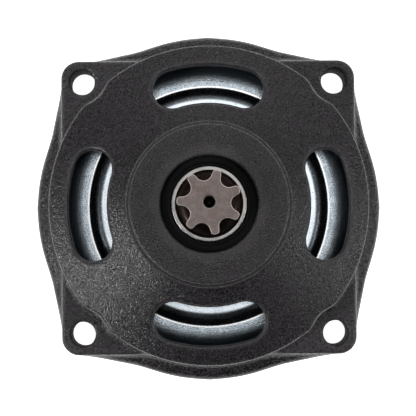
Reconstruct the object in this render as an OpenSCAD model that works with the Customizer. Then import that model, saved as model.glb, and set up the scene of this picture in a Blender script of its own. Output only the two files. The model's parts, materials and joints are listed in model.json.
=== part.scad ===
// Clutch drum housing with a chain pinion, for a 47/49 cc two-stroke engine.
// The open rear of the steel drum drops over the engine's centrifugal clutch. Once the clutch grips,
// the drum turns the pinion shaft in two sealed ball bearings, and a 25H chain runs on the pinion.
//
// Frame: the origin is the centre of the rear mounting face and +Z runs along the shaft to the pinion.
// All lengths are in millimetres.

/* [Mounting flange] */
// Distance between neighbouring mounting holes, along X and along Y
hole_pitch = 71; // [70:0.5:72]
// Diameter of each mounting hole, a clearance hole for an M6 bolt
hole_d = 7; // [6.4:0.1:7.6]
// Width across the square that the four ears make
ear_square = 83; // [82:0.5:85]
// Radius of an ear's outer corner
ear_corner_r = 5; // [3:0.5:7]
// Thickness of the ears
ear_h = 12; // [11:0.5:14]
// Diameter over the four bulged sides of the flange
flange_d = 97.6; // [97:0.2:99]
// Thickness of the flange at the rim of a bulge
flange_h = 6.5; // [6:0.5:8]

/* [Housing] */
// Diameter of the raised disc at its outer edge
disc_d = 87.4; // [86.6:0.2:88]
// Height of the disc's outer edge
disc_edge_z = 27.5; // [26.5:0.5:29]
// Height of the disc's sloping face where it meets the boss
disc_inner_z = 33.4; // [33:0.2:34]
// Diameter of the flat boss in the middle, at its foot
boss_d = 44.6; // [43:0.2:46]
// Height of the boss
boss_z = 38; // [37.8:0.1:38.4]
// Inside diameter of the chamber that holds the drum
chamber_d = 82.4; // [82:0.2:83]
// Thickness of the front wall
wall = 4.5; // [4:0.1:5]
// Radius of the relief beside each mounting hole, for a bolt's flanged head
relief_r = 7.6; // [7:0.1:8]

/* [Cooling slots] */
// Radius of the middle line of the curved slots
slot_line_r = 33; // [32.5:0.1:33.5]
// Width of a slot
slot_w = 10.6; // [9:0.2:11]
// Angle between the centres of a slot's round ends
slot_angle = 34.6; // [28:0.2:38]

/* [Clutch drum] */
// Bore that the clutch shoes grip
drum_bore_d = 76; // [75.6:0.1:76.4]
// Thickness of the drum's steel
drum_t = 2; // [1.8:0.1:2.2]
// Height of the drum's open rim above the mounting face
drum_rim_z = 0.5; // [0.3:0.1:1]
// Height of the drum's outer shoulder
shoulder_z = 18; // [17.8:0.1:18.2]
// Height of the drum's raised middle
plateau_z = 20; // [19.8:0.1:20.2]
// Radius at which the step up to the middle starts
step_r = 33; // [32.6:0.1:33.4]

/* [Bearings] */
// Number of balls in each bearing
balls = 11; // [9:1:12]
// Diameter of each ball
ball_d = 3.572; // [3.4:0.002:3.6]

/* [Pinion] */
// Height of the pinion's front face
pinion_z = 50; // [46:0.5:52]
// Width of a tooth at its tip, before its corners are rounded
tooth_tip_w = 2; // [1.8:0.1:2.2]
// Radius of the rounded gullet between two teeth
gullet_r = 2.2; // [2:0.1:2.3]
// Direction of the first tooth, anticlockwise from +X
tooth_phase = 75; // [0:1:90]

/* [Hidden] */
$fn = 96;

// Free play between parts that turn past each other, and between parts that only touch
play = 0.05;
touch = 0.01;

// Mounting flange
ear_half = ear_square / 2;
hole_at = hole_pitch / 2;
hole_r = hole_d / 2;
flange_r = flange_d / 2;
flange_root_z = 9;
flange_fall = (flange_root_z - flange_h) / (flange_r - disc_d / 2);
flank_drop = 0.4;
flank_end = [ear_half + 0.05, ear_half - 4.6];
flank_foot = [45.1, 18.5];

// Housing
disc_r = disc_d / 2;
draft = 0.9;
boss_r = boss_d / 2;
boss_slope = 0.8;
chamber_r = chamber_d / 2;
lip_r = 12.7;
hub_wall = 4;
slot_end_r = slot_w / 2;

// Bearings of 17 mm bore, 30 mm outside diameter and 7 mm width
bore_r = 8.5;
bearing_r = 15;
bearing_w = 7;
race_chamfer = 0.6;
land_in_r = 10.1;
land_out_r = 13.2;
ball_r = ball_d / 2;
ball_line_r = (land_in_r + land_out_r) / 2;
seal_seat_r = 13.6;
seal_t = 0.9;
seal_inset = 0.35;
cage_t = 1.4;
cage_h = 4.3;

// Stack along the shaft, from the lip in front of the bearings backwards
bearing_front_z = 36.8;
bearing_mid_z = bearing_front_z - bearing_w;
bearing_rear_z = bearing_mid_z - bearing_w;
circlip_t = 1.2;
circlip_z = bearing_rear_z - 2 * play - circlip_t;
groove_r = 15.7;
circlip_in_r = 13.4;
lug_r = 1.7;
lug_hole_r = 0.8;
lug_line_r = 13.2;
lug_angle = 22;
hub_z = circlip_z - 0.7;
washer_t = 0.6;
washer_z = bearing_rear_z - play - washer_t;

// Shaft and drum
spigot_r = 10;
shaft_flange_r = 17;
shaft_flange_t = 3;
shaft_flange_z = plateau_z - drum_t - shaft_flange_t;
drum_bore_r = drum_bore_d / 2;
drum_r = drum_bore_r + drum_t;
drum_corner_r = 5;
step_h = plateau_z - shoulder_z;
step_roll_r = 4;
rivet_count = 6;
rivet_line_r = 12.6;
rivet_r = 1.6;
rivet_head_r = 2.4;
rivet_head_h = 1.3;
rivet_front_r = 2.1;
rivet_front_h = 0.5;

// Pinion
teeth = 7;
tooth_root_z = bearing_front_z + 1.2;
gullet_apex_r = 3.79;
tooth_corner_r = 0.8;
centre_r = 1.42;
centre_depth = 4;

BALL_NUMBERS = [1 : balls];

// ---- Outlines ----

function unit(v) = v / norm(v);

// Points of an arc about o
function arc(o, r, from, sweep, n) =
    [for (i = [0 : n]) let (a = from + sweep * i / n) o + r * [cos(a), sin(a)]];

// Points that round the corner b, between a and c
function rounded_corner(a, b, c, r, n) =
    let (
        u = unit(a - b),
        v = unit(c - b),
        half = acos(u * v) / 2,
        o = b + unit(u + v) * r / sin(half),
        first = b + u * r / tan(half) - o,
        last = b + v * r / tan(half) - o,
        from = atan2(first.y, first.x),
        sweep = (atan2(last.y, last.x) - from + 540) % 360 - 180
    )
    arc(o, r, from, sweep, n);

function flat(p) = [p.x, p.y];

// A closed outline of corners [x, y], or [x, y, radius] where the corner is rounded
function rounded(pts, n = 6) = [
    for (i = [0 : len(pts) - 1])
        let (before = pts[(i + len(pts) - 1) % len(pts)], p = pts[i], after = pts[(i + 1) % len(pts)])
        each len(p) > 2 ? rounded_corner(flat(before), flat(p), flat(after), p[2], n) : [p]
];

// The same corners turned by an angle, keeping their radii
function turned(pts, a) = [
    for (p = pts)
        let (x = p.x * cos(a) - p.y * sin(a), y = p.x * sin(a) + p.y * cos(a))
        len(p) > 2 ? [x, y, p[2]] : [x, y]
];

module revolved(pts, n = 6) {
    rotate_extrude() polygon(rounded(pts, n));
}

module ring(r_in, r_out, h) {
    difference() {
        cylinder(r = r_out, h = h);
        translate([0, 0, -1]) cylinder(r = r_in, h = h + 2);
    }
}

module at_each_hole() {
    for (x = [-hole_at, hole_at], y = [-hole_at, hole_at]) translate([x, y, 0]) children();
}

// ---- Housing ----

// Straight flanks that run from each ear's corner in to the foot of the next bulge
module flank_plan() {
    side = [[flank_end.x, -flank_end.y], [flank_foot.x, -flank_foot.y], flank_foot, flank_end];
    polygon([for (a = [0 : 90 : 270]) each turned(side, a)]);
}

// The low flange: four bulges of one round disc, and the slightly lower flanks between them and the ears.
// Both slope down from the housing at the same rate.
module flange() {
    flank_reach = 8;
    revolved([
        [0, 0],
        [flange_r, 0],
        [flange_r, flange_h, 1.5],
        [disc_r, flange_root_z],
        [0, flange_root_z]
    ]);
    intersection() {
        linear_extrude(ear_h) flank_plan();
        revolved([
            [0, 0],
            [flange_r + flank_reach, 0],
            [flange_r + flank_reach, flange_h - flank_drop - flank_reach * flange_fall],
            [disc_r, flange_root_z - flank_drop],
            [0, flange_root_z - flank_drop]
        ]);
    }
}

// The square plate whose four corners are the ears
module ears() {
    linear_extrude(ear_h)
        polygon(rounded([
            [ear_half, -ear_half, ear_corner_r],
            [ear_half, ear_half, ear_corner_r],
            [-ear_half, ear_half, ear_corner_r],
            [-ear_half, -ear_half, ear_corner_r]
        ]));
}

// The round body: a drafted side, a sloping face and the flat boss
module round_body() {
    revolved([
        [0, 0],
        [disc_r + draft, 0],
        [disc_r, disc_edge_z, 0.8],
        [boss_r, disc_inner_z, 0.6],
        [boss_r - boss_slope, boss_z, 0.6],
        [0, boss_z]
    ]);
}

// The drum chamber, the bearing bore and the hole in the lip, as one hollow
module hollow() {
    revolved([
        [0, -1],
        [chamber_r, -1],
        [chamber_r, disc_edge_z - wall + 0.5, 2],
        [bearing_r + hub_wall, disc_inner_z - wall + 0.5, 2],
        [bearing_r + hub_wall, hub_z],
        [bearing_r, hub_z],
        [bearing_r, bearing_front_z + touch],
        [lip_r, bearing_front_z + touch],
        [lip_r, boss_z + 1],
        [0, boss_z + 1]
    ]);
}

// Plan of one curved cooling slot, centred on +X: two long arcs joined by round ends
module slot_plan() {
    half = slot_angle / 2;
    end = slot_line_r * [cos(half), sin(half)];
    polygon(concat(
        arc([0, 0], slot_line_r + slot_end_r, -half, slot_angle, 16),
        arc(end, slot_end_r, half, 180, 12),
        arc([0, 0], slot_line_r - slot_end_r, half, -slot_angle, 16),
        arc([end.x, -end.y], slot_end_r, 180 - half, 180, 12)
    ));
}

module slot_cuts() {
    for (a = [0 : 90 : 270])
        rotate([0, 0, a]) translate([0, 0, hub_z]) linear_extrude(boss_z - hub_z) slot_plan();
}

module housing() {
    color("#35343a")
        difference() {
            union() {
                flange();
                ears();
                round_body();
            }
            hollow();
            slot_cuts();
            at_each_hole() translate([0, 0, -1]) cylinder(r = hole_r, h = ear_h + 2);
            at_each_hole() translate([0, 0, ear_h]) cylinder(r = relief_r, h = boss_z);
            translate([0, 0, circlip_z - play]) cylinder(r = groove_r, h = circlip_t + 2 * play);
        }
}

module at_each_lug() {
    for (a = [-lug_angle, lug_angle]) rotate(a) translate([lug_line_r, 0]) children();
}

// Internal circlip that holds both bearings in the bore
module bearing_circlip() {
    gap_tip = 20 * [cos(14), sin(14)];
    color("#3a3a3e")
        translate([0, 0, circlip_z])
            linear_extrude(circlip_t)
                difference() {
                    union() {
                        difference() {
                            circle(r = groove_r - play);
                            circle(r = circlip_in_r);
                        }
                        at_each_lug() circle(r = lug_r);
                    }
                    polygon([[0, 0], [gap_tip.x, -gap_tip.y], gap_tip]);
                    at_each_lug() circle(r = lug_hole_r);
                }
}

// ---- Drum and shaft ----

// Pressed steel cup: friction rim, rounded corner, flat shoulder, sloping step and raised middle
module clutch_drum() {
    // A 45 degree step moves sideways as much as it rises, and its inside face lies this much nearer
    mitre = drum_t * tan(22.5);
    color("#c9cfd6")
        difference() {
            revolved([
                [drum_bore_r, drum_rim_z],
                [drum_r, drum_rim_z, 0.5],
                [drum_r, shoulder_z, drum_corner_r],
                [step_r, shoulder_z, 0.4],
                [step_r - step_h, plateau_z, step_roll_r],
                [spigot_r + play, plateau_z],
                [spigot_r + play, plateau_z - drum_t],
                [step_r - step_h - mitre, plateau_z - drum_t, step_roll_r - drum_t],
                [step_r - mitre, shoulder_z - drum_t, 0.4 + drum_t],
                [drum_bore_r, shoulder_z - drum_t, drum_corner_r - drum_t]
            ], 10);
            at_each_rivet() translate([0, 0, shaft_flange_z]) cylinder(r = rivet_r + play, h = 10);
        }
}

module at_each_rivet() {
    for (i = [1 : rivet_count])
        rotate([0, 0, i * 360 / rivet_count]) translate([rivet_line_r, 0, 0]) children();
}

// Flanged shaft with the pinion's teeth cut into its front end
module pinion_shaft() {
    color("#6b605d")
        difference() {
            union() {
                revolved([
                    [0, shaft_flange_z],
                    [shaft_flange_r, shaft_flange_z, 0.5],
                    [shaft_flange_r, shaft_flange_z + shaft_flange_t - touch],
                    [spigot_r, shaft_flange_z + shaft_flange_t - touch],
                    [spigot_r, washer_z - play],
                    [bore_r - touch, washer_z - play],
                    [bore_r - touch, tooth_root_z, 0.3],
                    [0, tooth_root_z]
                ]);
                translate([0, 0, tooth_root_z - 1]) linear_extrude(pinion_z - tooth_root_z + 1) tooth_plan();
            }
            at_each_rivet() translate([0, 0, shaft_flange_z - 1]) cylinder(r = rivet_r + play, h = 10);
            translate([0, 0, pinion_z - centre_depth]) centre_drill();
            translate([0, 0, shaft_flange_z + centre_depth]) mirror([0, 0, 1]) centre_drill();
        }
}

// Roller-chain teeth: each gullet's rounded foot lies between the flanks of two teeth
module tooth_plan() {
    pitch_angle = 360 / teeth;
    tooth = [
        [bore_r, -tooth_tip_w / 2, tooth_corner_r],
        [bore_r, tooth_tip_w / 2, tooth_corner_r]
    ];
    gullet = turned([[gullet_apex_r, 0, gullet_r]], pitch_angle / 2);
    corners = [for (i = [0 : teeth - 1]) each turned(concat(tooth, gullet), tooth_phase + i * pitch_angle)];
    polygon(rounded(corners, 8));
}

// The hole a lathe's centre runs in, with its countersunk mouth
module centre_drill() {
    mouth_h = 0.4;
    cylinder(r = centre_r, h = centre_depth + 1);
    translate([0, 0, centre_depth - mouth_h])
        cylinder(r1 = centre_r, r2 = centre_r + 2 * mouth_h, h = 2 * mouth_h);
    mirror([0, 0, 1]) cylinder(r1 = centre_r, r2 = 0.1, h = centre_r);
}

module drum_rivets() {
    rear_z = shaft_flange_z - touch;
    front_z = plateau_z + touch;
    color("#8d8f93")
        at_each_rivet()
            revolved([
                [0, rear_z - rivet_head_h],
                [rivet_head_r, rear_z - rivet_head_h, 1],
                [rivet_head_r, rear_z],
                [rivet_r, rear_z],
                [rivet_r, front_z],
                [rivet_front_r, front_z],
                [rivet_front_r, front_z + rivet_front_h, 0.3],
                [0, front_z + rivet_front_h]
            ]);
}

module thrust_washer() {
    color("#b9bcc0") translate([0, 0, washer_z]) ring(bore_r + play, spigot_r, washer_t);
}

// ---- Bearings, each drawn from its rear face at height z ----

module ball_groove() {
    rotate_extrude() translate([ball_line_r, bearing_w / 2]) circle(r = ball_r + play);
}

module outer_race(z) {
    seat_z = seal_inset + seal_t + play;
    color("#9fa2a6")
        translate([0, 0, z])
            difference() {
                revolved([
                    [seal_seat_r, 0],
                    [bearing_r - touch, 0, 0.4],
                    [bearing_r - touch, bearing_w - touch, 0.4],
                    [seal_seat_r, bearing_w - touch],
                    [seal_seat_r, bearing_w - seat_z],
                    [land_out_r, bearing_w - seat_z],
                    [land_out_r, seat_z],
                    [seal_seat_r, seat_z]
                ], 3);
                ball_groove();
            }
}

module inner_race(z) {
    color("#b6b4b0")
        translate([0, 0, z])
            difference() {
                revolved([
                    [bore_r, race_chamfer],
                    [bore_r + race_chamfer, 0],
                    [land_in_r, 0],
                    [land_in_r, bearing_w - touch],
                    [bore_r + race_chamfer, bearing_w - touch],
                    [bore_r, bearing_w - race_chamfer]
                ]);
                ball_groove();
            }
}

module ball_at(i, z) {
    color("#d4d6d9")
        rotate([0, 0, i * 360 / balls]) translate([ball_line_r, 0, z + bearing_w / 2]) sphere(r = ball_r);
}

module ball_cage(z) {
    color("#a8894e")
        difference() {
            translate([0, 0, z + (bearing_w - cage_h) / 2])
                ring(ball_line_r - cage_t / 2, ball_line_r + cage_t / 2, cage_h);
            for (i = BALL_NUMBERS)
                rotate([0, 0, i * 360 / balls])
                    translate([ball_line_r, 0, z + bearing_w / 2]) sphere(r = ball_r + play);
        }
}

module seal_at(z) {
    color("#161618") translate([0, 0, z]) ring(land_in_r + play, seal_seat_r - touch, seal_t);
}

module outer_seal(z) {
    seal_at(z + bearing_w - seal_inset - seal_t);
}

module inner_seal(z) {
    seal_at(z + seal_inset);
}

housing();
clutch_drum();
pinion_shaft();
drum_rivets();
bearing_circlip();
thrust_washer();
outer_race(bearing_mid_z);  // front_outer_race
inner_race(bearing_mid_z);  // front_inner_race
ball_cage(bearing_mid_z);  // front_ball_cage
outer_seal(bearing_mid_z);  // front_outer_seal
inner_seal(bearing_mid_z);  // front_inner_seal
outer_race(bearing_rear_z);  // rear_outer_race
inner_race(bearing_rear_z);  // rear_inner_race
ball_cage(bearing_rear_z);  // rear_ball_cage
outer_seal(bearing_rear_z);  // rear_outer_seal
inner_seal(bearing_rear_z);  // rear_inner_seal
for (i = BALL_NUMBERS) {
    ball_at(i, bearing_mid_z);
    ball_at(i, bearing_rear_z);
}
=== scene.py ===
import json
import math

import bpy
import numpy as np
from mathutils import Matrix, Vector


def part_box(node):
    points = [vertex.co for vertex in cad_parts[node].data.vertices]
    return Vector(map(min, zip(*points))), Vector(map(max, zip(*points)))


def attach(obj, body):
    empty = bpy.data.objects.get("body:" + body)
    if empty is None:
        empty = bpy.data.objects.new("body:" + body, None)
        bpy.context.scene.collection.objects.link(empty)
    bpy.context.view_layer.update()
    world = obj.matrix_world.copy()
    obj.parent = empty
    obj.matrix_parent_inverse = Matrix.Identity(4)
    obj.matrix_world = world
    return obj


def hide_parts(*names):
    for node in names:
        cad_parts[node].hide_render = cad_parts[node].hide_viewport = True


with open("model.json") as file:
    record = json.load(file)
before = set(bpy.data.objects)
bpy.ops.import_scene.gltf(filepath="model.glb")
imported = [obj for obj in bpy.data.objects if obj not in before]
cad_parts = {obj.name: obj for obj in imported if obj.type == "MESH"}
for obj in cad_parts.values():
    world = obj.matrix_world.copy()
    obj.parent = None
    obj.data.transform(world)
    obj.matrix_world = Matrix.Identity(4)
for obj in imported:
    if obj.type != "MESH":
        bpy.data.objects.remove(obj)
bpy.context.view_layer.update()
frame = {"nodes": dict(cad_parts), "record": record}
MM = 0.001
TAU = 2 * math.pi

# ---- Sizes in millimetres. The overall ones come from the frame's own boxes. ----

HOUSING_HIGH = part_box("housing")[1] / MM
SHAFT_LOW, SHAFT_HIGH = (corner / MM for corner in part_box("pinion_shaft"))
DRUM_LOW, DRUM_HIGH = (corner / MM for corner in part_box("clutch_drum"))
WASHER_LOW, WASHER_HIGH = (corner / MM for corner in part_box("thrust_washer"))
CIRCLIP_LOW, CIRCLIP_HIGH = (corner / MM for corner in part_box("bearing_circlip"))
FRONT_RACE_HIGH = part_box("front_inner_race")[1] / MM

# Housing
FLANGE_R = HOUSING_HIGH.x
FLANGE_RIM_Z = 6.5
FLANGE_ROOT_Z = 9.0
FLANGE_FILLET = 0.8
FLANGE_ROUND = 1.3
FLANK_FOOT = (45.1, 18.5)
FLANK_END = (41.55, 36.9)
HOLE_AT = 35.5
HOLE_R = 3.5
EAR_HALF = 41.5
EAR_CORNER_R = 5.0
EAR_Z = 12.0
EAR_ROUND = 1.1
EAR_FILLET = 1.6
RELIEF_R = 7.6
RELIEF_FILLET = 1.2
DISC_R = 43.7
DISC_EDGE_Z = 27.5
DRAFT = 0.9
DISC_ROUND = 0.5
BODY_FILLET = 1.8
BOSS_R = 22.3
BOSS_TOP_R = 21.5
BOSS_FOOT_Z = 33.4
BOSS_Z = HOUSING_HIGH.z
BOSS_ROUND = 0.7
CHAMBER_R = 41.2
CEILING_RIM_Z = 23.5
CEILING_HUB_Z = 29.4
HUB_R = 19.0
HUB_Z = CIRCLIP_LOW.z - 0.7
BEARING_R = 15.0
BEARING_FRONT_Z = FRONT_RACE_HIGH.z
CHAMBER_ROUND = 2.2
HUB_ROUND = 0.8
HUB_FILLET = 1.8
HOLLOW_ROUND = 0.5
LIP_R = 12.7
LIP_ROUND = 1.0
REAR_ROUND = 0.4
GROOVE_R = CIRCLIP_HIGH.y + 0.05
GROOVE_HALF_H = 0.65
SLOT_LINE_R = 33.0
SLOT_HALF_W = 5.3
SLOT_HALF_ANGLE = math.radians(17.3)
SLOT_ROUND = 1.1
HOLE_ROUND = 0.8

# Drum: a pressed cup with a step up to its raised middle
DRUM_R = DRUM_HIGH.x
DRUM_T = 2.0
RIM_Z = DRUM_LOW.z
SHOULDER_Z = 18.0
PLATEAU_Z = DRUM_HIGH.z
STEP_R = 33.0
DRUM_CORNER_R = 5.0
STEP_ROLL_R = 4.0
STEP_FOOT_R = 0.4
WEB_BORE_PLAY = 0.05

# Shaft and pinion
SPIGOT_R = WASHER_HIGH.x
SHAFT_FLANGE_R = SHAFT_HIGH.x
SHAFT_REAR_Z = SHAFT_LOW.z
SHAFT_FLANGE_TOP_Z = PLATEAU_Z - DRUM_T
JOURNAL_R = 8.49
TEETH = 7
TOOTH_PHASE = math.radians(75)
TOOTH_TIP_R = 8.5
TOOTH_TIP_W = 2.0
TOOTH_CORNER_R = 0.8
TOOTH_ROOT_Z = BEARING_FRONT_Z + 1.2
GULLET_ROOT_R = 5.6
GULLET_APEX_R = 3.79
GULLET_R = 2.2
GULLET_RUN_OUT = 2.6
FACE_CHAMFER = 0.22
PINION_Z = SHAFT_HIGH.z
CENTRE_R = 1.42
CENTRE_DEPTH = 4.0
RIVETS = 6
RIVET_LINE_R = 12.6
RIVET_HOLE_R = 1.65
RIVET_R = 1.6
RIVET_TAIL_H = 0.5

# Bearings
RACE_BORE_R = 8.5
LAND_IN_R = 10.1
SEAL_SEAT_R = 13.6
BALL_LINE_R = 11.65
BALL_R = 1.786
BEARING_W = 7.0
RACE_CHAMFER = 0.6
SEAL_T = 0.9

# Fineness of the visible meshes
VOXEL = 0.5
HOUSING_TRIANGLES = 188_000
DRUM_SEGMENTS = 200
RING_SEGMENTS = 160
SEAL_SEGMENTS = 128
RIVET_SEGMENTS = 32
DRILL_SEGMENTS = 24
OUTLINE_GAP = 0.55
PROFILE_GAP = 2.2

# Studio
FLOOR_GLOW = 1.05


# ---- Materials ----

class NodeTree:
    """A node tree with short ways to add the nodes used here, and the coordinates that they work on."""

    def __init__(self, tree, coordinates):
        self.nodes = tree.nodes
        self.links = tree.links
        self.coords = self.nodes.new("ShaderNodeTexCoord").outputs[coordinates]

    def put(self, socket, value):
        """Gives a node's input either a link or a constant."""
        if isinstance(value, bpy.types.NodeSocket):
            self.links.new(value, socket)
        else:
            socket.default_value = value

    def math(self, operation, a, b=0.0, clamp=False):
        node = self.nodes.new("ShaderNodeMath")
        node.operation = operation
        node.use_clamp = clamp
        self.put(node.inputs[0], a)
        self.put(node.inputs[1], b)
        return node.outputs[0]

    def noise(self, size_mm, detail=3.0, roughness=0.55, coords=None, distortion=0.0):
        """Noise whose features are about size_mm across."""
        node = self.nodes.new("ShaderNodeTexNoise")
        node.inputs["Scale"].default_value = 1 / (size_mm * MM)
        node.inputs["Detail"].default_value = detail
        node.inputs["Roughness"].default_value = roughness
        node.inputs["Distortion"].default_value = distortion
        self.links.new(coords or self.coords, node.inputs["Vector"])
        return node.outputs["Fac"]

    def flecks(self, size_mm):
        """Distance from the nearest of many scattered points, 0 at a point."""
        node = self.nodes.new("ShaderNodeTexVoronoi")
        node.inputs["Scale"].default_value = 1 / (size_mm * MM)
        self.links.new(self.coords, node.inputs["Vector"])
        return node.outputs["Distance"]

    def band(self, value, low, high, to_low=0.0, to_high=1.0):
        """Maps low..high smoothly to to_low..to_high, and clamps outside."""
        node = self.nodes.new("ShaderNodeMapRange")
        node.interpolation_type = "SMOOTHSTEP"
        self.put(node.inputs["Value"], value)
        node.inputs["From Min"].default_value = low
        node.inputs["From Max"].default_value = high
        node.inputs["To Min"].default_value = to_low
        node.inputs["To Max"].default_value = to_high
        return node.outputs["Result"]

    def mix(self, factor, a, b):
        node = self.nodes.new("ShaderNodeMix")
        node.data_type = "RGBA"
        self.put(node.inputs["Factor"], factor)
        for socket, colour in ((node.inputs["A"], a), (node.inputs["B"], b)):
            self.put(socket, (*colour, 1.0) if isinstance(colour, tuple) else colour)
        return node.outputs["Result"]

    def part(self, axis):
        """One of the coordinates: X, Y or Z."""
        node = self.nodes.new("ShaderNodeSeparateXYZ")
        self.links.new(self.coords, node.inputs[0])
        return node.outputs[axis]

    def radius(self):
        """Distance from the shaft's axis, in metres."""
        return self.length(self.part("X"), self.part("Y"))

    def length(self, a, b):
        """The length of a vector with these two parts."""
        squares = self.math("ADD", self.math("POWER", a, 2.0), self.math("POWER", b, 2.0))
        return self.math("SQRT", squares)

    def turned(self, stretch):
        """Coordinates stretched along the circles that a lathe or a grinder leaves."""
        node = self.nodes.new("ShaderNodeCombineXYZ")
        angle = self.math("ARCTAN2", self.part("Y"), self.part("X"))
        self.put(node.inputs["X"], self.radius())
        self.put(node.inputs["Y"], self.math("MULTIPLY", angle, 0.01 / stretch))
        self.put(node.inputs["Z"], self.part("Z"))
        return node.outputs[0]


class Shader(NodeTree):
    """A material and its node tree."""

    def __init__(self, name, roughness=0.5, metallic=0.0, specular=0.5):
        self.material = bpy.data.materials.new(name)
        self.material.use_nodes = True
        super().__init__(self.material.node_tree, "Object")
        self.shader = self.nodes["Principled BSDF"]
        self.shader.inputs["Roughness"].default_value = roughness
        self.shader.inputs["Metallic"].default_value = metallic
        self.shader.inputs["Specular IOR Level"].default_value = specular

    def set(self, socket, value):
        """Joins a value to one of the shader's inputs."""
        self.links.new(value, self.shader.inputs[socket])

    def bump(self, height, depth_mm, strength=1.0):
        node = self.nodes.new("ShaderNodeBump")
        self.put(node.inputs["Strength"], strength)
        node.inputs["Distance"].default_value = depth_mm * MM
        self.links.new(height, node.inputs["Height"])
        self.set("Normal", node.outputs["Normal"])


def black_powder_coat():
    """Satin black powder coat over a sand casting, with a leathery grain.

    The grain is coarser on the flange, and the coat is paler along the edges, partly as wear and partly
    as a painted highlight. Its gloss varies from grain to grain, which gives it its sparkle, and pale
    flecks on the raised grain are painted glints. The walls of the four bolt holes are matt and painted
    almost black as painted shade.
    """
    m = Shader("black_powder_coat", specular=0.5)
    coarse = m.noise(0.8, 1.5, 0.6)
    grain = m.noise(0.38, 0.6, 0.5)
    fine = m.noise(0.25, 0.5, 0.5)
    patches = m.noise(8.0, 3.0, 0.6)
    painted_glint = m.band(m.flecks(1.3), 0.08, 0.2, 1.0, 0.0)
    flange = m.band(m.part("Z"), 0.012, 0.02, 1.0, 0.0)
    height = m.math("ADD", m.math("MULTIPLY", grain, 0.62), m.math("MULTIPLY", fine, 0.38))
    height = m.math("ADD", height, m.math("MULTIPLY", m.math("MULTIPLY", coarse, flange), 0.9))
    ear = m.math("MULTIPLY", flange, m.band(m.part("Z"), (EAR_Z - 1.6) * MM, (EAR_Z - 0.6) * MM))
    shift = m.math("SUBTRACT", m.math("MULTIPLY", flange, 0.46), m.math("MULTIPLY", ear, 0.1))
    raised = m.band(m.math("SUBTRACT", height, shift), 0.39, 0.62)
    colour = m.mix(raised, (0.006, 0.0053, 0.006), (0.056, 0.05, 0.056))
    colour = m.mix(m.band(patches, 0.42, 0.7, 0.0, 0.3), colour, (0.022, 0.0198, 0.022))
    # Pale flecks on the raised grain: painted glints.
    colour = m.mix(m.math("MULTIPLY", painted_glint, raised), colour, (0.13, 0.125, 0.13))
    wear_and_highlight = m.nodes.new("ShaderNodeAttribute")
    wear_and_highlight.attribute_name = "edge_wear_and_highlight"
    worn_and_lit = m.math("MULTIPLY", wear_and_highlight.outputs["Fac"], m.band(fine, 0.3, 0.6, 0.15, 0.5), clamp=True)
    # Paler along convex edges: partly wear, partly a painted highlight.
    worn_and_lit_colour = m.mix(worn_and_lit, colour, (0.1, 0.094, 0.098))
    across, along = (m.math("SUBTRACT", m.math("ABSOLUTE", m.part(axis)), HOLE_AT * MM) for axis in "XY")
    in_hole = m.band(m.length(across, along), (HOLE_R - 0.1) * MM, (HOLE_R + 0.3) * MM, 1.0, 0.0)
    # The bolt holes' walls are painted almost black: painted shade. They are matt as well.
    m.set("Base Color", m.mix(in_hole, worn_and_lit_colour, (0.004, 0.0038, 0.004)))
    gloss = m.noise(0.26, 1.0, 0.5)
    m.set("Specular IOR Level", m.band(gloss, 0.4, 0.6, 0.24, 0.82))
    sheen = m.band(m.math("ADD", patches, m.math("MULTIPLY", fine, 0.5)), 0.5, 1.0, 0.18, 0.26)
    m.set("Roughness", m.math("MAXIMUM", sheen, in_hole))
    m.bump(height, 0.17, m.band(m.part("Z"), 0.012, 0.02, 1.0, 0.9))
    return m.material


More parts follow.
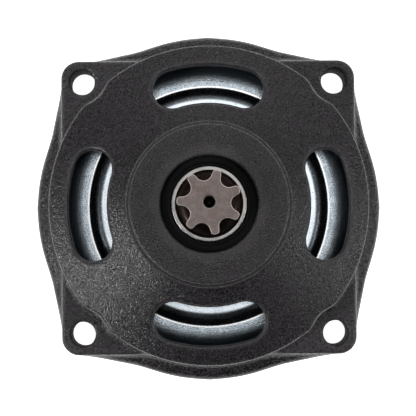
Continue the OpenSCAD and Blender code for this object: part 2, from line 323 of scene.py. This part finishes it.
def zinc_plated_steel():
    """Bluish zinc on pressed sheet.

    The raised middle is bright, and the wall of the step is darkened with pale specks as painted shade.
    The bend at its foot is polished, and painted almost white in a thin line as a painted highlight.
    The shoulder outside is duller and speckled, and pitted and darkened towards its corner, the
    darkening being painted shade.
    """
    m = Shader("zinc_plated_steel", metallic=1.0)
    speckle = m.noise(0.42, 3.0, 0.75)
    rolled = m.noise(0.5, 3.0, 0.6, m.turned(9.0))
    cloud = m.noise(3.5, 3.0, 0.6)
    specks = m.band(m.flecks(1.5), 0.05, 0.16, 1.0, 0.0)
    radius = m.radius()
    outside = m.band(radius, (STEP_R + 0.3) * MM, (STEP_R + 0.7) * MM)
    bright = m.mix(m.band(cloud, 0.35, 0.68), (0.78, 0.87, 0.94), (0.9, 0.96, 1.0))
    dull = m.mix(m.band(cloud, 0.35, 0.68), (0.6, 0.69, 0.76), (0.82, 0.9, 0.97))
    dull = m.mix(m.band(speckle, 0.5, 0.68), dull, (0.37, 0.44, 0.5))
    # Darker towards the outer corner: painted shade, with a speckled edge.
    corner = m.math("MULTIPLY", m.math("SUBTRACT", radius, 0.0362), 200.0)
    dull = m.mix(m.band(m.math("ADD", speckle, corner), 0.42, 0.7), dull, (0.37, 0.46, 0.52))
    past_roll = m.band(radius, (STEP_R - 3.6) * MM, (STEP_R - 2.9) * MM)
    wall = m.math("MULTIPLY", past_roll, m.band(radius, (STEP_R - 0.3) * MM, STEP_R * MM, 1.0, 0.0))
    tint = m.mix(outside, bright, dull)
    tint = m.mix(m.math("MULTIPLY", specks, 0.55), tint, (0.12, 0.13, 0.14))
    # The step's wall is painted dark with pale specks: painted shade.
    mottle = m.mix(m.band(speckle, 0.58, 0.72), (0.17, 0.19, 0.21), (0.7, 0.77, 0.82))
    tint = m.mix(wall, tint, mottle)
    # A thin line at the bend is painted almost white: a painted highlight. It is also polished.
    from_bend = m.math("ABSOLUTE", m.math("SUBTRACT", radius, (STEP_R + 0.3) * MM))
    off_bend = m.band(from_bend, 0.25 * MM, 0.4 * MM)
    m.set("Base Color", m.mix(off_bend, (0.97, 0.99, 1.0), tint))
    grain = m.band(m.math("ADD", speckle, rolled), 0.7, 1.35, 0.13, 0.22)
    corner_matt = m.math("MULTIPLY", m.band(radius, 0.035, 0.0365), 0.2)
    matt = m.math("ADD", corner_matt, m.math("MULTIPLY", wall, 0.12))
    rough = m.math("ADD", m.math("ADD", grain, m.math("MULTIPLY", outside, 0.04)), matt)
    polish = m.band(from_bend, 0.25 * MM, 0.4 * MM, 0.4, 1.0)
    m.set("Roughness", m.math("MULTIPLY", rough, polish))
    height = m.math("ADD", m.math("MULTIPLY", speckle, 0.7), m.math("MULTIPLY", rolled, 0.3))
    pitted = m.math("MULTIPLY", m.band(radius, 0.0345, 0.0358), 0.55)
    m.bump(height, 0.19, m.math("ADD", m.band(radius, 0.033, 0.0345, 0.18, 0.45), pitted))
    return m.material


def pinion_steel():
    """Hardened steel: a face ground bright, with a pale painted highlight on its chamfer, and tooth flanks
    and gullets coloured dark brown.
    """
    m = Shader("pinion_steel", metallic=1.0)
    marks = m.noise(0.22, 2.0, 0.6, m.turned(4.0))
    stain = m.noise(2.6, 4.0, 0.62, distortion=0.6)
    grain = m.noise(0.3, 3.0, 0.6)
    face = m.mix(m.band(stain, 0.35, 0.68), (0.225, 0.178, 0.163), (0.33, 0.285, 0.272))
    face = m.mix(m.band(marks, 0.45, 0.7, 0.0, 0.5), face, (0.14, 0.112, 0.105))
    # Everything below the ground face is coloured dark brown, nearly black.
    dark = m.mix(m.band(grain, 0.4, 0.7), (0.016, 0.011, 0.01), (0.045, 0.032, 0.028))
    on_face = m.band(m.part("Z"), (PINION_Z - 0.9) * MM, (PINION_Z - 0.12) * MM)
    # The face's chamfer is painted pale: a painted highlight along the tooth outlines.
    chamfer_foot = m.band(m.part("Z"), (PINION_Z - 0.26) * MM, (PINION_Z - 0.2) * MM)
    chamfer_head = m.band(m.part("Z"), (PINION_Z - 0.05) * MM, (PINION_Z - 0.005) * MM, 1.0, 0.0)
    painted_chamfer_highlight = m.math("MULTIPLY", chamfer_foot, chamfer_head)
    m.set("Base Color", m.mix(painted_chamfer_highlight, m.mix(on_face, dark, face), (0.46, 0.4, 0.37)))
    m.set("Roughness", m.band(m.math("ADD", stain, m.math("MULTIPLY", marks, 0.6)), 0.6, 1.1, 0.3, 0.46))
    m.bump(m.math("ADD", m.math("MULTIPLY", marks, 0.5), m.math("MULTIPLY", grain, 0.5)), 0.02)
    return m.material


def ground_steel(name, low, high, roughness, mark_mm=0.16):
    """Steel with fine marks round its axis, as turning or grinding leaves them."""
    m = Shader(name, metallic=1.0)
    marks = m.noise(mark_mm, 3.0, 0.6, m.turned(12.0))
    cloud = m.noise(2.2, 3.0, 0.6)
    blend = m.math("ADD", m.math("MULTIPLY", marks, 0.6), m.math("MULTIPLY", cloud, 0.4))
    m.set("Base Color", m.mix(m.band(blend, 0.35, 0.66), low, high))
    m.set("Roughness", m.band(marks, 0.35, 0.7, roughness - 0.06, roughness + 0.08))
    m.bump(marks, 0.008)
    return m.material


def rivet_steel():
    """Steel rivets with heads hammered over, so their surface is dented and darker in the dents."""
    m = Shader("rivet_steel", metallic=1.0)
    dents = m.noise(0.9, 2.0, 0.5)
    grain = m.noise(0.2, 3.0, 0.6)
    m.set("Base Color", m.mix(m.band(dents, 0.38, 0.66), (0.3, 0.3, 0.31), (0.55, 0.55, 0.56)))
    m.set("Roughness", m.band(grain, 0.35, 0.7, 0.28, 0.46))
    m.bump(m.math("ADD", dents, m.math("MULTIPLY", grain, 0.15)), 0.05)
    return m.material


def seal_rubber():
    """Nitrile rubber moulded over a plate, with a thin film of grease and dust."""
    m = Shader("seal_rubber", specular=0.14)
    mottle = m.noise(0.7, 4.0, 0.65)
    grain = m.noise(0.18, 2.0, 0.5)
    m.set("Base Color", m.mix(m.band(mottle, 0.5, 0.75), (0.0035, 0.0035, 0.004), (0.011, 0.0105, 0.0105)))
    m.set("Roughness", m.band(mottle, 0.35, 0.7, 0.45, 0.66))
    m.bump(grain, 0.012)
    return m.material


def cage_brass():
    """Pressed brass, slightly tarnished."""
    m = Shader("cage_brass", metallic=1.0)
    tarnish = m.noise(1.3, 4.0, 0.6)
    marks = m.noise(0.15, 2.0, 0.6, m.turned(8.0))
    m.set("Base Color", m.mix(m.band(tarnish, 0.4, 0.7), (0.62, 0.44, 0.17), (0.34, 0.23, 0.1)))
    m.set("Roughness", m.band(m.math("ADD", tarnish, marks), 0.7, 1.3, 0.24, 0.42))
    m.bump(marks, 0.008)
    return m.material


MATERIALS = {
    "black_powder_coat": black_powder_coat(),
    "zinc_plated_steel": zinc_plated_steel(),
    "pinion_steel": pinion_steel(),
    "rivet_steel": rivet_steel(),
    "spring_steel": ground_steel("spring_steel", (0.06, 0.06, 0.065), (0.17, 0.17, 0.18), 0.36, 0.3),
    "bearing_steel": ground_steel("bearing_steel", (0.42, 0.4, 0.39), (0.66, 0.64, 0.62), 0.3),
    "ball_steel": ground_steel("ball_steel", (0.74, 0.74, 0.75), (0.84, 0.84, 0.84), 0.1, 0.1),
    "cage_brass": cage_brass(),
    "seal_rubber": seal_rubber(),
}


def dress(obj, slot):
    """Gives an object the material of a slot."""
    obj.data.materials.clear()
    obj.data.materials.append(MATERIALS[slot])


for row in frame["record"]["subparts"]:
    dress(frame["nodes"][row["node"]], row["material_slot"])


# ---- Outlines ----

def polar(radius, angle):
    return radius * math.cos(angle), radius * math.sin(angle)


def rounded(corners, steps=6):
    """Points of a closed outline of (x, y) or (x, y, radius) corners, with its corners rounded."""
    points = []
    for i, corner in enumerate(corners):
        b = Vector(corner[:2])
        if len(corner) == 2:
            points.append(b)
            continue
        u = (Vector(corners[i - 1][:2]) - b).normalized()
        v = (Vector(corners[(i + 1) % len(corners)][:2]) - b).normalized()
        half = u.angle(v) / 2
        centre = b + (u + v).normalized() * corner[2] / math.sin(half)
        start = b + u * corner[2] / math.tan(half) - centre
        end = b + v * corner[2] / math.tan(half) - centre
        turn = start.angle(end)
        for k in range(steps + 1):
            blend = k / steps
            arm = start * math.sin((1 - blend) * turn) + end * math.sin(blend * turn)
            points.append(centre + arm / math.sin(turn))
    return points


def circle_at(across, along, radius, z, segments):
    """Points of a circle about a vertical line."""
    spokes = [polar(radius, TAU * k / segments) for k in range(segments)]
    return [(across + x, along + y, z) for x, y in spokes]


def spaced(points, gap):
    """The same closed outline with points added so that none are further apart than the gap."""
    result = []
    for i, start in enumerate(points):
        end = points[(i + 1) % len(points)]
        parts = max(1, math.ceil((end - start).length / gap))
        result += [start.lerp(end, k / parts) for k in range(parts)]
    return result


# ---- Mesh builders ----

def add_piece(name, mesh, slot, body, replaced):
    """Adds a visible piece that moves with a body and stands for a CAD node."""
    piece = bpy.data.objects.new(name, mesh)
    bpy.context.scene.collection.objects.link(piece)
    dress(piece, slot)
    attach(piece, body)
    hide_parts(replaced)


def mesh_from(name, vertices, faces, sharp_degrees):
    """A smooth-shaded mesh from points in millimetres, with edges over this angle kept sharp."""
    mesh = bpy.data.meshes.new(name)
    mesh.from_pydata([Vector(p) * MM for p in vertices], [], faces)
    mesh.validate()
    mesh.shade_smooth()
    mesh.set_sharp_from_angle(angle=math.radians(sharp_degrees))
    return mesh


def lathed(profile, segments):
    """Vertices and faces of a closed profile of (radius, height) points turned about Z.

    The profile runs anticlockwise with the radius to the right.
    """
    vertices = [(*polar(r, TAU * s / segments), z) for s in range(segments) for r, z in profile]
    count = len(profile)
    faces = []
    for s in range(segments):
        this = s * count
        after = (s + 1) % segments * count
        for k in range(count):
            n = (k + 1) % count
            faces.append((this + k, after + k, after + n, this + n))
    return vertices, faces


def stacked(rings):
    """Vertices and faces that join rings of equally many points, with a single point at each end."""
    count = len(rings[1])
    vertices = [rings[0]]
    for ring in rings[1:-1]:
        vertices += ring
    vertices.append(rings[-1])
    last = len(vertices) - 1
    faces = []
    for k in range(count):
        n = (k + 1) % count
        faces.append((0, 1 + n, 1 + k))
        for level in range(len(rings) - 3):
            low = 1 + level * count
            faces.append((low + k, low + n, low + count + n, low + count + k))
        faces.append((last - count + k, last - count + n, last))
    return vertices, faces


def with_modifier(mesh, name, kind, **settings):
    """A new mesh: this one with a modifier applied."""
    holder = bpy.data.objects.new(name, mesh)
    bpy.context.scene.collection.objects.link(holder)
    modifier = holder.modifiers.new(kind.lower(), kind)
    for key, value in settings.items():
        setattr(modifier, key, value)
    shaped = bpy.data.meshes.new_from_object(holder.evaluated_get(bpy.context.evaluated_depsgraph_get()))
    bpy.data.objects.remove(holder)
    return shaped


# ---- Housing: the casting's skin as a distance field, in millimetres ----

def round_max(a, b, r):
    """The larger of two distances, with the corner between them rounded off."""
    return np.maximum(a, b) + np.maximum(r - np.abs(a - b), 0.0) ** 2 / (4 * r)


def round_min(a, b, r):
    """The smaller of two distances, with a fillet in the corner between them."""
    return -round_max(-a, -b, r)


def outside_line(x, y, start, end):
    """Distance to the right of the line from start to end."""
    run, rise = end[0] - start[0], end[1] - start[1]
    return ((x - start[0]) * rise - (y - start[1]) * run) / math.hypot(run, rise)


def round_body(rho, z):
    """The round body: drafted side, sloping face and boss. rho is the distance from the shaft's axis."""
    side = outside_line(rho, z, (DISC_R + DRAFT, 0), (DISC_R, DISC_EDGE_Z))
    face = outside_line(rho, z, (DISC_R, DISC_EDGE_Z), (BOSS_R, BOSS_FOOT_Z))
    boss_side = outside_line(rho, z, (BOSS_R, BOSS_FOOT_Z), (BOSS_TOP_R, BOSS_Z))
    boss = round_max(boss_side, z - BOSS_Z, BOSS_ROUND)
    return round_min(round_max(side, face, DISC_ROUND), boss, BOSS_ROUND)


def flange_skin(u, v, rho, z):
    """The bulged flange. u and v are the larger and the smaller of |x| and |y|."""
    flank = outside_line(u, v, FLANK_FOOT, FLANK_END)
    across_ear = (u + v - FLANK_END[0] - FLANK_END[1]) / math.sqrt(2)
    plan = round_min(np.maximum(flank, across_ear), rho - FLANGE_R, FLANGE_FILLET)
    top = outside_line(rho, z, (FLANGE_R, FLANGE_RIM_Z), (DISC_R, FLANGE_ROOT_Z))
    return round_max(plan, top, FLANGE_ROUND)


def ear_skin(u, v, z):
    """The square plate whose corners are the ears."""
    reach = EAR_HALF - EAR_CORNER_R
    corner = np.hypot(np.maximum(u - reach, 0), np.maximum(v - reach, 0)) - EAR_CORNER_R
    return round_max(corner + np.minimum(u - reach, 0), z - EAR_Z, EAR_ROUND)


def hollow_skin(rho, z):
    """The drum chamber, the bearing bore, the circlip groove and the hole in the lip."""
    ceiling = outside_line(rho, z, (CHAMBER_R, CEILING_RIM_Z), (HUB_R, CEILING_HUB_Z))
    chamber = round_max(rho - CHAMBER_R, ceiling, CHAMBER_ROUND)
    hub = round_max(rho - HUB_R, HUB_Z - z, HUB_ROUND)
    bore = np.maximum(rho - BEARING_R, z - BEARING_FRONT_Z)
    groove_z = (CIRCLIP_LOW.z + CIRCLIP_HIGH.z) / 2
    groove = np.maximum(rho - GROOVE_R, np.abs(z - groove_z) - GROOVE_HALF_H)
    hollow = round_max(chamber, -hub, HUB_FILLET)
    return np.minimum(np.minimum(hollow, rho - LIP_R), np.minimum(bore, groove))


def slot_skin(u, v, rho):
    """The four curved slots with round ends, as columns of any height."""
    angle = np.arctan2(v, u)
    end_x, end_y = polar(SLOT_LINE_R, SLOT_HALF_ANGLE)
    along = np.abs(rho - SLOT_LINE_R)
    beyond = np.hypot(u - end_x, v - end_y)
    return np.where(angle <= SLOT_HALF_ANGLE, along, beyond) - SLOT_HALF_W


def casting(points):
    """Distance from the casting's skin: negative in the metal, positive in the air."""
    x, y, z = np.abs(points[:, 0]), np.abs(points[:, 1]), points[:, 2]
    u, v, rho = np.maximum(x, y), np.minimum(x, y), np.hypot(x, y)
    from_hole = np.hypot(x - HOLE_AT, y - HOLE_AT)
    body = round_max(round_body(rho, z), RELIEF_R - from_hole, RELIEF_FILLET)
    plate = round_min(flange_skin(u, v, rho, z), ear_skin(u, v, z), EAR_FILLET)
    metal = round_min(plate, body, BODY_FILLET)
    metal = round_max(metal, -z, REAR_ROUND)
    metal = round_max(metal, -hollow_skin(rho, z), HOLLOW_ROUND)
    metal = round_max(metal, LIP_R - rho, LIP_ROUND)
    metal = round_max(metal, -slot_skin(u, v, rho), SLOT_ROUND)
    return round_max(metal, HOLE_R - from_hole, HOLE_ROUND)


def casting_slope(points, step=0.01):
    """The distance field's gradient, which is the skin's outward normal."""
    slope = np.empty_like(points)
    for axis in range(3):
        shift = np.zeros(3)
        shift[axis] = step
        slope[:, axis] = (casting(points + shift) - casting(points - shift)) / (2 * step)
    return slope


def mesh_points(mesh):
    """A mesh's vertices in millimetres."""
    points = np.empty(len(mesh.vertices) * 3)
    mesh.vertices.foreach_get("co", points)
    return points.reshape(-1, 3) / MM


def settle_on_skin(mesh, rounds):
    """Moves each vertex onto the casting's skin and returns the normals there."""
    points = mesh_points(mesh)
    for _ in range(rounds):
        slope = casting_slope(points)
        length = np.maximum((slope ** 2).sum(axis=1), 0.25)
        points -= slope * (casting(points) / length)[:, None]
    mesh.vertices.foreach_set("co", (points * MM).ravel())
    slope = casting_slope(points)
    return slope / np.maximum(np.linalg.norm(slope, axis=1), 1e-6)[:, None]


def store_edge_wear_and_highlight(mesh, normals, depth=0.7):
    """How convex the skin is at each vertex, 0 on a plain face.

    A point that lies the depth below a convex edge is nearer the air than the depth. The coat's colour
    turns paler there, partly as wear and partly as a painted highlight.
    """
    below = casting(mesh_points(mesh) - normals * depth)
    wear_and_highlight = np.clip((1 + below / depth) * 3.2 - 0.25, 0, 1)
    mesh.attributes.new("edge_wear_and_highlight", "FLOAT", "POINT").data.foreach_set("value", wear_and_highlight)


def housing_casting():
    """The housing as it leaves the mould: fillets in every corner and no edge quite sharp."""
    mesh = frame["nodes"]["housing"].data.copy()
    mesh = with_modifier(mesh, "grid", "REMESH", mode="VOXEL", voxel_size=VOXEL * MM)
    settle_on_skin(mesh, 3)
    triangles = 2 * len(mesh.polygons)
    if triangles > HOUSING_TRIANGLES:
        mesh = with_modifier(mesh, "thinned", "DECIMATE", ratio=HOUSING_TRIANGLES / triangles)
    normals = settle_on_skin(mesh, 2)
    mesh.name = "housing_casting"
    mesh.shade_smooth()
    store_edge_wear_and_highlight(mesh, normals)
    mesh.normals_split_custom_set_from_vertices(normals)
    add_piece("housing_casting", mesh, "black_powder_coat", "housing_body", "housing")


# ---- Drum and shaft ----

def rivet_angles():
    return [TAU * (i + 1) / RIVETS for i in range(RIVETS)]


def drum_pressing():
    """The pressed cup, with soft bends and rounded corners at its open end."""
    mitre = DRUM_T * math.tan(math.radians(22.5))
    rise = PLATEAU_Z - SHOULDER_Z
    bore_r = DRUM_R - DRUM_T
    web_r = SPIGOT_R + WEB_BORE_PLAY
    profile = rounded([
        (bore_r, RIM_Z, 0.3),
        (DRUM_R, RIM_Z, 0.6),
        (DRUM_R, SHOULDER_Z, DRUM_CORNER_R),
        (STEP_R, SHOULDER_Z, 0.6),
        (STEP_R - rise, PLATEAU_Z, STEP_ROLL_R),
        (web_r, PLATEAU_Z, 0.15),
        (web_r, PLATEAU_Z - DRUM_T, 0.15),
        (STEP_R - rise - mitre, PLATEAU_Z - DRUM_T, STEP_ROLL_R - DRUM_T),
        (STEP_R - mitre, SHOULDER_Z - DRUM_T, STEP_FOOT_R + DRUM_T),
        (bore_r, SHOULDER_Z - DRUM_T, DRUM_CORNER_R - DRUM_T),
    ], 12)
    profile = spaced(profile, PROFILE_GAP)
    mesh = mesh_from("drum_pressing", *lathed(profile, DRUM_SEGMENTS), 50)
    drills = bpy.data.objects.new("drills", rivet_drills())
    bpy.context.scene.collection.objects.link(drills)
    mesh = with_modifier(mesh, "drilled", "BOOLEAN", operation="DIFFERENCE", solver="EXACT", object=drills)
    bpy.data.objects.remove(drills)
    mesh.name = "drum_pressing"
    add_piece("drum_pressing", mesh, "zinc_plated_steel", "drum_body", "clutch_drum")


def at_each_rivet(low, sections, high, segments):
    """Vertices and faces of a turned solid on each rivet's axis.

    low and high are the heights of its ends, and the sections between them are (radius, height).
    """
    vertices, faces = [], []
    for angle in rivet_angles():
        across, along = polar(RIVET_LINE_R, angle)
        circles = [circle_at(across, along, radius, z, segments) for radius, z in sections]
        points, quads = stacked([(across, along, low), *circles, (across, along, high)])
        faces += [tuple(len(vertices) + i for i in face) for face in quads]
        vertices += points
    return vertices, faces


def rivet_drills():
    low, high = PLATEAU_Z - 4, PLATEAU_Z + 2
    sections = [(RIVET_HOLE_R, low), (RIVET_HOLE_R, high)]
    return mesh_from("drills", *at_each_rivet(low, sections, high, DRILL_SEGMENTS), 32)


def tooth_outline():
    """Plan of the pinion: tips rounded to a small radius and round-bottomed gullets between them."""
    corners = []
    for i in range(TEETH):
        middle = TOOTH_PHASE + TAU * i / TEETH
        gullet = middle + TAU / TEETH / 2
        for side in (-1, 1):
            tip = Matrix.Rotation(middle, 2) @ Vector((TOOTH_TIP_R, side * TOOTH_TIP_W / 2))
            corners.append((tip.x, tip.y, TOOTH_CORNER_R))
        corners.append((*polar(GULLET_APEX_R, gullet), GULLET_R))
    return spaced(rounded(corners, 8), OUTLINE_GAP)


def shrunk(outline, by):
    """A closed anticlockwise outline moved inwards."""
    count = len(outline)
    moved = []
    for i, point in enumerate(outline):
        along = (outline[(i + 1) % count] - outline[i - 1]).normalized()
        moved.append(point + Vector((-along.y, along.x)) * by)
    return moved


def shaft_forging():
    """The flanged shaft. Its tooth gullets run out in a curve where the cutter left the steel."""
    teeth = tooth_outline()
    angles = [math.atan2(p.y, p.x) for p in teeth]

    def circle(radius, z):
        return [(*polar(radius, a), z) for a in angles]

    def plan(points, z):
        return [(p.x, p.y, z) for p in points]

    def cut(radius, z):
        return [(*polar(max(p.length, radius), a), z) for p, a in zip(teeth, angles)]

    mouth_r = CENTRE_R + 0.4
    tip_depth = CENTRE_DEPTH + CENTRE_R
    rings = [
        (0, 0, SHAFT_REAR_Z + tip_depth),
        circle(CENTRE_R, SHAFT_REAR_Z + CENTRE_DEPTH),
        circle(CENTRE_R, SHAFT_REAR_Z + 0.45),
        circle(mouth_r, SHAFT_REAR_Z + 0.03),
        circle(mouth_r + 0.3, SHAFT_REAR_Z),
        circle(6.0, SHAFT_REAR_Z),
        circle(SHAFT_FLANGE_R - 0.5, SHAFT_REAR_Z),
        circle(SHAFT_FLANGE_R - 0.15, SHAFT_REAR_Z + 0.15),
        circle(SHAFT_FLANGE_R, SHAFT_REAR_Z + 0.5),
        circle(SHAFT_FLANGE_R, SHAFT_FLANGE_TOP_Z - 0.2),
        circle(SHAFT_FLANGE_R - 0.2, SHAFT_FLANGE_TOP_Z - 0.01),
        circle(SPIGOT_R, SHAFT_FLANGE_TOP_Z - 0.01),
        circle(SPIGOT_R, WASHER_LOW.z - 0.2),
        circle(SPIGOT_R - 0.15, WASHER_LOW.z - 0.05),
        circle(JOURNAL_R, WASHER_LOW.z - 0.05),
        circle(JOURNAL_R, TOOTH_ROOT_Z - 0.2),
        circle(JOURNAL_R - 0.12, TOOTH_ROOT_Z - 0.05),
    ]
    for k in range(9):
        swing = k / 8 * math.pi / 2
        radius = JOURNAL_R - 0.12 - (JOURNAL_R - 0.12 - GULLET_ROOT_R) * math.sin(swing)
        rings.append(cut(radius, TOOTH_ROOT_Z + GULLET_RUN_OUT * (1 - math.cos(swing))))
    rings += [
        plan(teeth, PINION_Z - FACE_CHAMFER),
        plan(shrunk(teeth, FACE_CHAMFER * 0.4), PINION_Z - FACE_CHAMFER * 0.35),
        plan(shrunk(teeth, FACE_CHAMFER), PINION_Z),
        circle(4.6, PINION_Z),
        circle(mouth_r + 0.25, PINION_Z),
        circle(mouth_r + 0.02, PINION_Z - 0.02),
        circle(mouth_r - 0.12, PINION_Z - 0.12),
        circle(CENTRE_R, PINION_Z - 0.5),
        circle(CENTRE_R, PINION_Z - CENTRE_DEPTH),
        (0, 0, PINION_Z - tip_depth),
    ]
    mesh = mesh_from("shaft_forging", *stacked(rings), 30)
    add_piece("shaft_forging", mesh, "pinion_steel", "drum_body", "pinion_shaft")


def drum_rivet_set():
    """Six rivets, domed at the rear and closed flat at the front."""
    head_low = SHAFT_REAR_Z - 1.31
    top = PLATEAU_Z + 0.01
    profile = rounded([
        (0.0, head_low),
        (1.3, head_low + 0.02, 0.5),
        (2.2, head_low + 0.55, 0.6),
        (2.4, SHAFT_REAR_Z - 0.01, 0.15),
        (RIVET_R, SHAFT_REAR_Z - 0.01),
        (RIVET_R, top),
        (2.1, top, 0.08),
        (2.0, top + 0.42, 0.25),
        (0.0, top + RIVET_TAIL_H),
    ], 4)
    sections = [(p.x, p.y) for p in profile if p.x > 0]
    solids = at_each_rivet(head_low, sections, top + RIVET_TAIL_H, RIVET_SEGMENTS)
    mesh = mesh_from("rivet_set", *solids, 40)
    add_piece("rivet_set", mesh, "rivet_steel", "drum_body", "drum_rivets")


# ---- Bearings ----

def inner_ring(end):
    """An inner ring: chamfered bore, ground land and the groove that the balls run in."""
    low, top = (corner.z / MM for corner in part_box(end + "_inner_race"))
    middle = low + BEARING_W / 2
    groove_r = BALL_R + 0.05
    half = math.acos((BALL_LINE_R - LAND_IN_R) / groove_r)
    groove = [(BALL_LINE_R - groove_r * math.cos(a), middle + groove_r * math.sin(a))
              for a in (half * (k / 5 - 1) for k in range(11))]
    profile = rounded([
        (RACE_BORE_R, low + RACE_CHAMFER, 0.2),
        (RACE_BORE_R + RACE_CHAMFER, low, 0.2),
        (LAND_IN_R, low, 0.2),
        *groove,
        (LAND_IN_R, top, 0.2),
        (RACE_BORE_R + RACE_CHAMFER, top, 0.2),
        (RACE_BORE_R, top - RACE_CHAMFER, 0.2),
    ], 4)
    name = end + "_inner_ring"
    mesh = mesh_from(name, *lathed(profile, RING_SEGMENTS), 40)
    add_piece(name, mesh, "bearing_steel", "drum_body", end + "_inner_race")


def moulded_seal(node, faces_up):
    """A dished rubber seal: a bead in the outer ring's groove, a thin web and a lip on the inner ring."""
    low, high = (corner.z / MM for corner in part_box(node))
    inner, outer = LAND_IN_R + 0.05, SEAL_SEAT_R - 0.01
    shape = [
        (inner + 0.35, 0.0, 0.1),
        (outer, 0.0, 0.1),
        (outer, SEAL_T - 0.15, 0.15),
        (outer - 0.2, SEAL_T, 0.15),
        (13.0, SEAL_T - 0.02, 0.2),
        (12.75, 0.5, 0.25),
        (11.3, 0.42, 0.25),
        (10.95, 0.72, 0.2),
        (10.4, 0.78, 0.2),
        (inner, 0.5, 0.15),
        (inner, 0.22, 0.1),
    ]
    profile = [(r, low + z if faces_up else high - z) for r, z in rounded(shape, 4)]
    if not faces_up:
        profile.reverse()
    name = node + "_moulding"
    mesh = mesh_from(name, *lathed(profile, SEAL_SEGMENTS), 60)
    add_piece(name, mesh, "seal_rubber", "housing_body", node)


def bearings():
    for end in ("front", "rear"):
        inner_ring(end)
        moulded_seal(end + "_outer_seal", True)
        moulded_seal(end + "_inner_seal", False)


# ---- Stage: floor, lights and camera ----

def studio_floor():
    """A pale translucent table lit from below, as for a product on a white ground."""
    bpy.ops.mesh.primitive_plane_add(size=6.0, location=(0, 0, -0.0003))
    floor = bpy.context.object
    floor.name = "studio_floor"
    m = Shader("studio_floor", roughness=0.85)
    cloud = m.noise(180.0, 2.0, 0.5)
    m.set("Base Color", m.mix(m.band(cloud, 0.3, 0.7), (0.86, 0.86, 0.86), (0.9, 0.9, 0.9)))
    m.shader.inputs["Emission Color"].default_value = (1.0, 1.0, 1.0, 1.0)
    m.shader.inputs["Emission Strength"].default_value = FLOOR_GLOW
    floor.data.materials.append(m.material)


def glow(sky, azimuth, elevation, spread, radiance):
    """The light of a soft round glow in the world, with its spread as a standard deviation in degrees."""
    flat, up = math.cos(math.radians(elevation)), math.sin(math.radians(elevation))
    towards = sky.nodes.new("ShaderNodeVectorMath")
    towards.operation = "DOT_PRODUCT"
    sky.links.new(sky.coords, towards.inputs[0])
    towards.inputs[1].default_value = (*polar(flat, math.radians(azimuth)), up)
    facing = sky.math("MAXIMUM", towards.outputs["Value"], 0.0)
    falloff = sky.math("POWER", facing, 1 / math.radians(spread) ** 2)
    return sky.math("MULTIPLY", falloff, radiance)


def studio_lights():
    """Pale walls under a dark ceiling, darker towards -Y, with the glow of four soft lamps above them."""
    world = bpy.data.worlds.new("studio")
    world.use_nodes = True
    sky = NodeTree(world.node_tree, "Generated")
    walls = sky.band(sky.part("Z"), 0.1, 0.6, 0.95, 0.02)
    light = sky.math("MULTIPLY", walls, sky.band(sky.part("Y"), -0.9, 0.1, 0.1, 1.0))
    for azimuth, elevation, spread, radiance in (
        (60, 86, 7.0, 1.3),
        (80, 58, 22.0, 0.7),
        (207, 45, 4.0, 36.0),
        (-15, 45, 5.0, 9.5),
    ):
        light = sky.math("ADD", glow(sky, azimuth, elevation, spread, radiance), light)
    background = sky.nodes["Background"]
    sky.links.new(light, background.inputs["Strength"])
    background.inputs["Color"].default_value = (1.0, 1.0, 1.0, 1.0)
    bpy.context.scene.world = world


def photo_camera():
    """Almost straight above the part, a little towards its lower edge."""
    place = Vector((-2.6, -17.4, 486.0)) * MM
    aim = Vector((-0.15, 0.0, 6.0)) * MM
    roll = math.radians(0.38)
    forward = (aim - place).normalized()
    right = forward.cross(Vector((math.sin(roll), math.cos(roll), 0.0))).normalized()
    up = right.cross(forward)
    data = bpy.data.cameras.new("camera")
    data.sensor_width = 36.0
    data.lens = 145.7
    data.clip_start = 0.01
    camera = bpy.data.objects.new("camera", data)
    camera.matrix_world = Matrix.Translation(place) @ Matrix((right, up, -forward)).transposed().to_4x4()
    bpy.context.scene.collection.objects.link(camera)
    bpy.context.scene.camera = camera


housing_casting()
drum_pressing()
shaft_forging()
drum_rivet_set()
bearings()
studio_floor()
studio_lights()
photo_camera()
bpy.context.scene.view_settings.view_transform = "Standard"
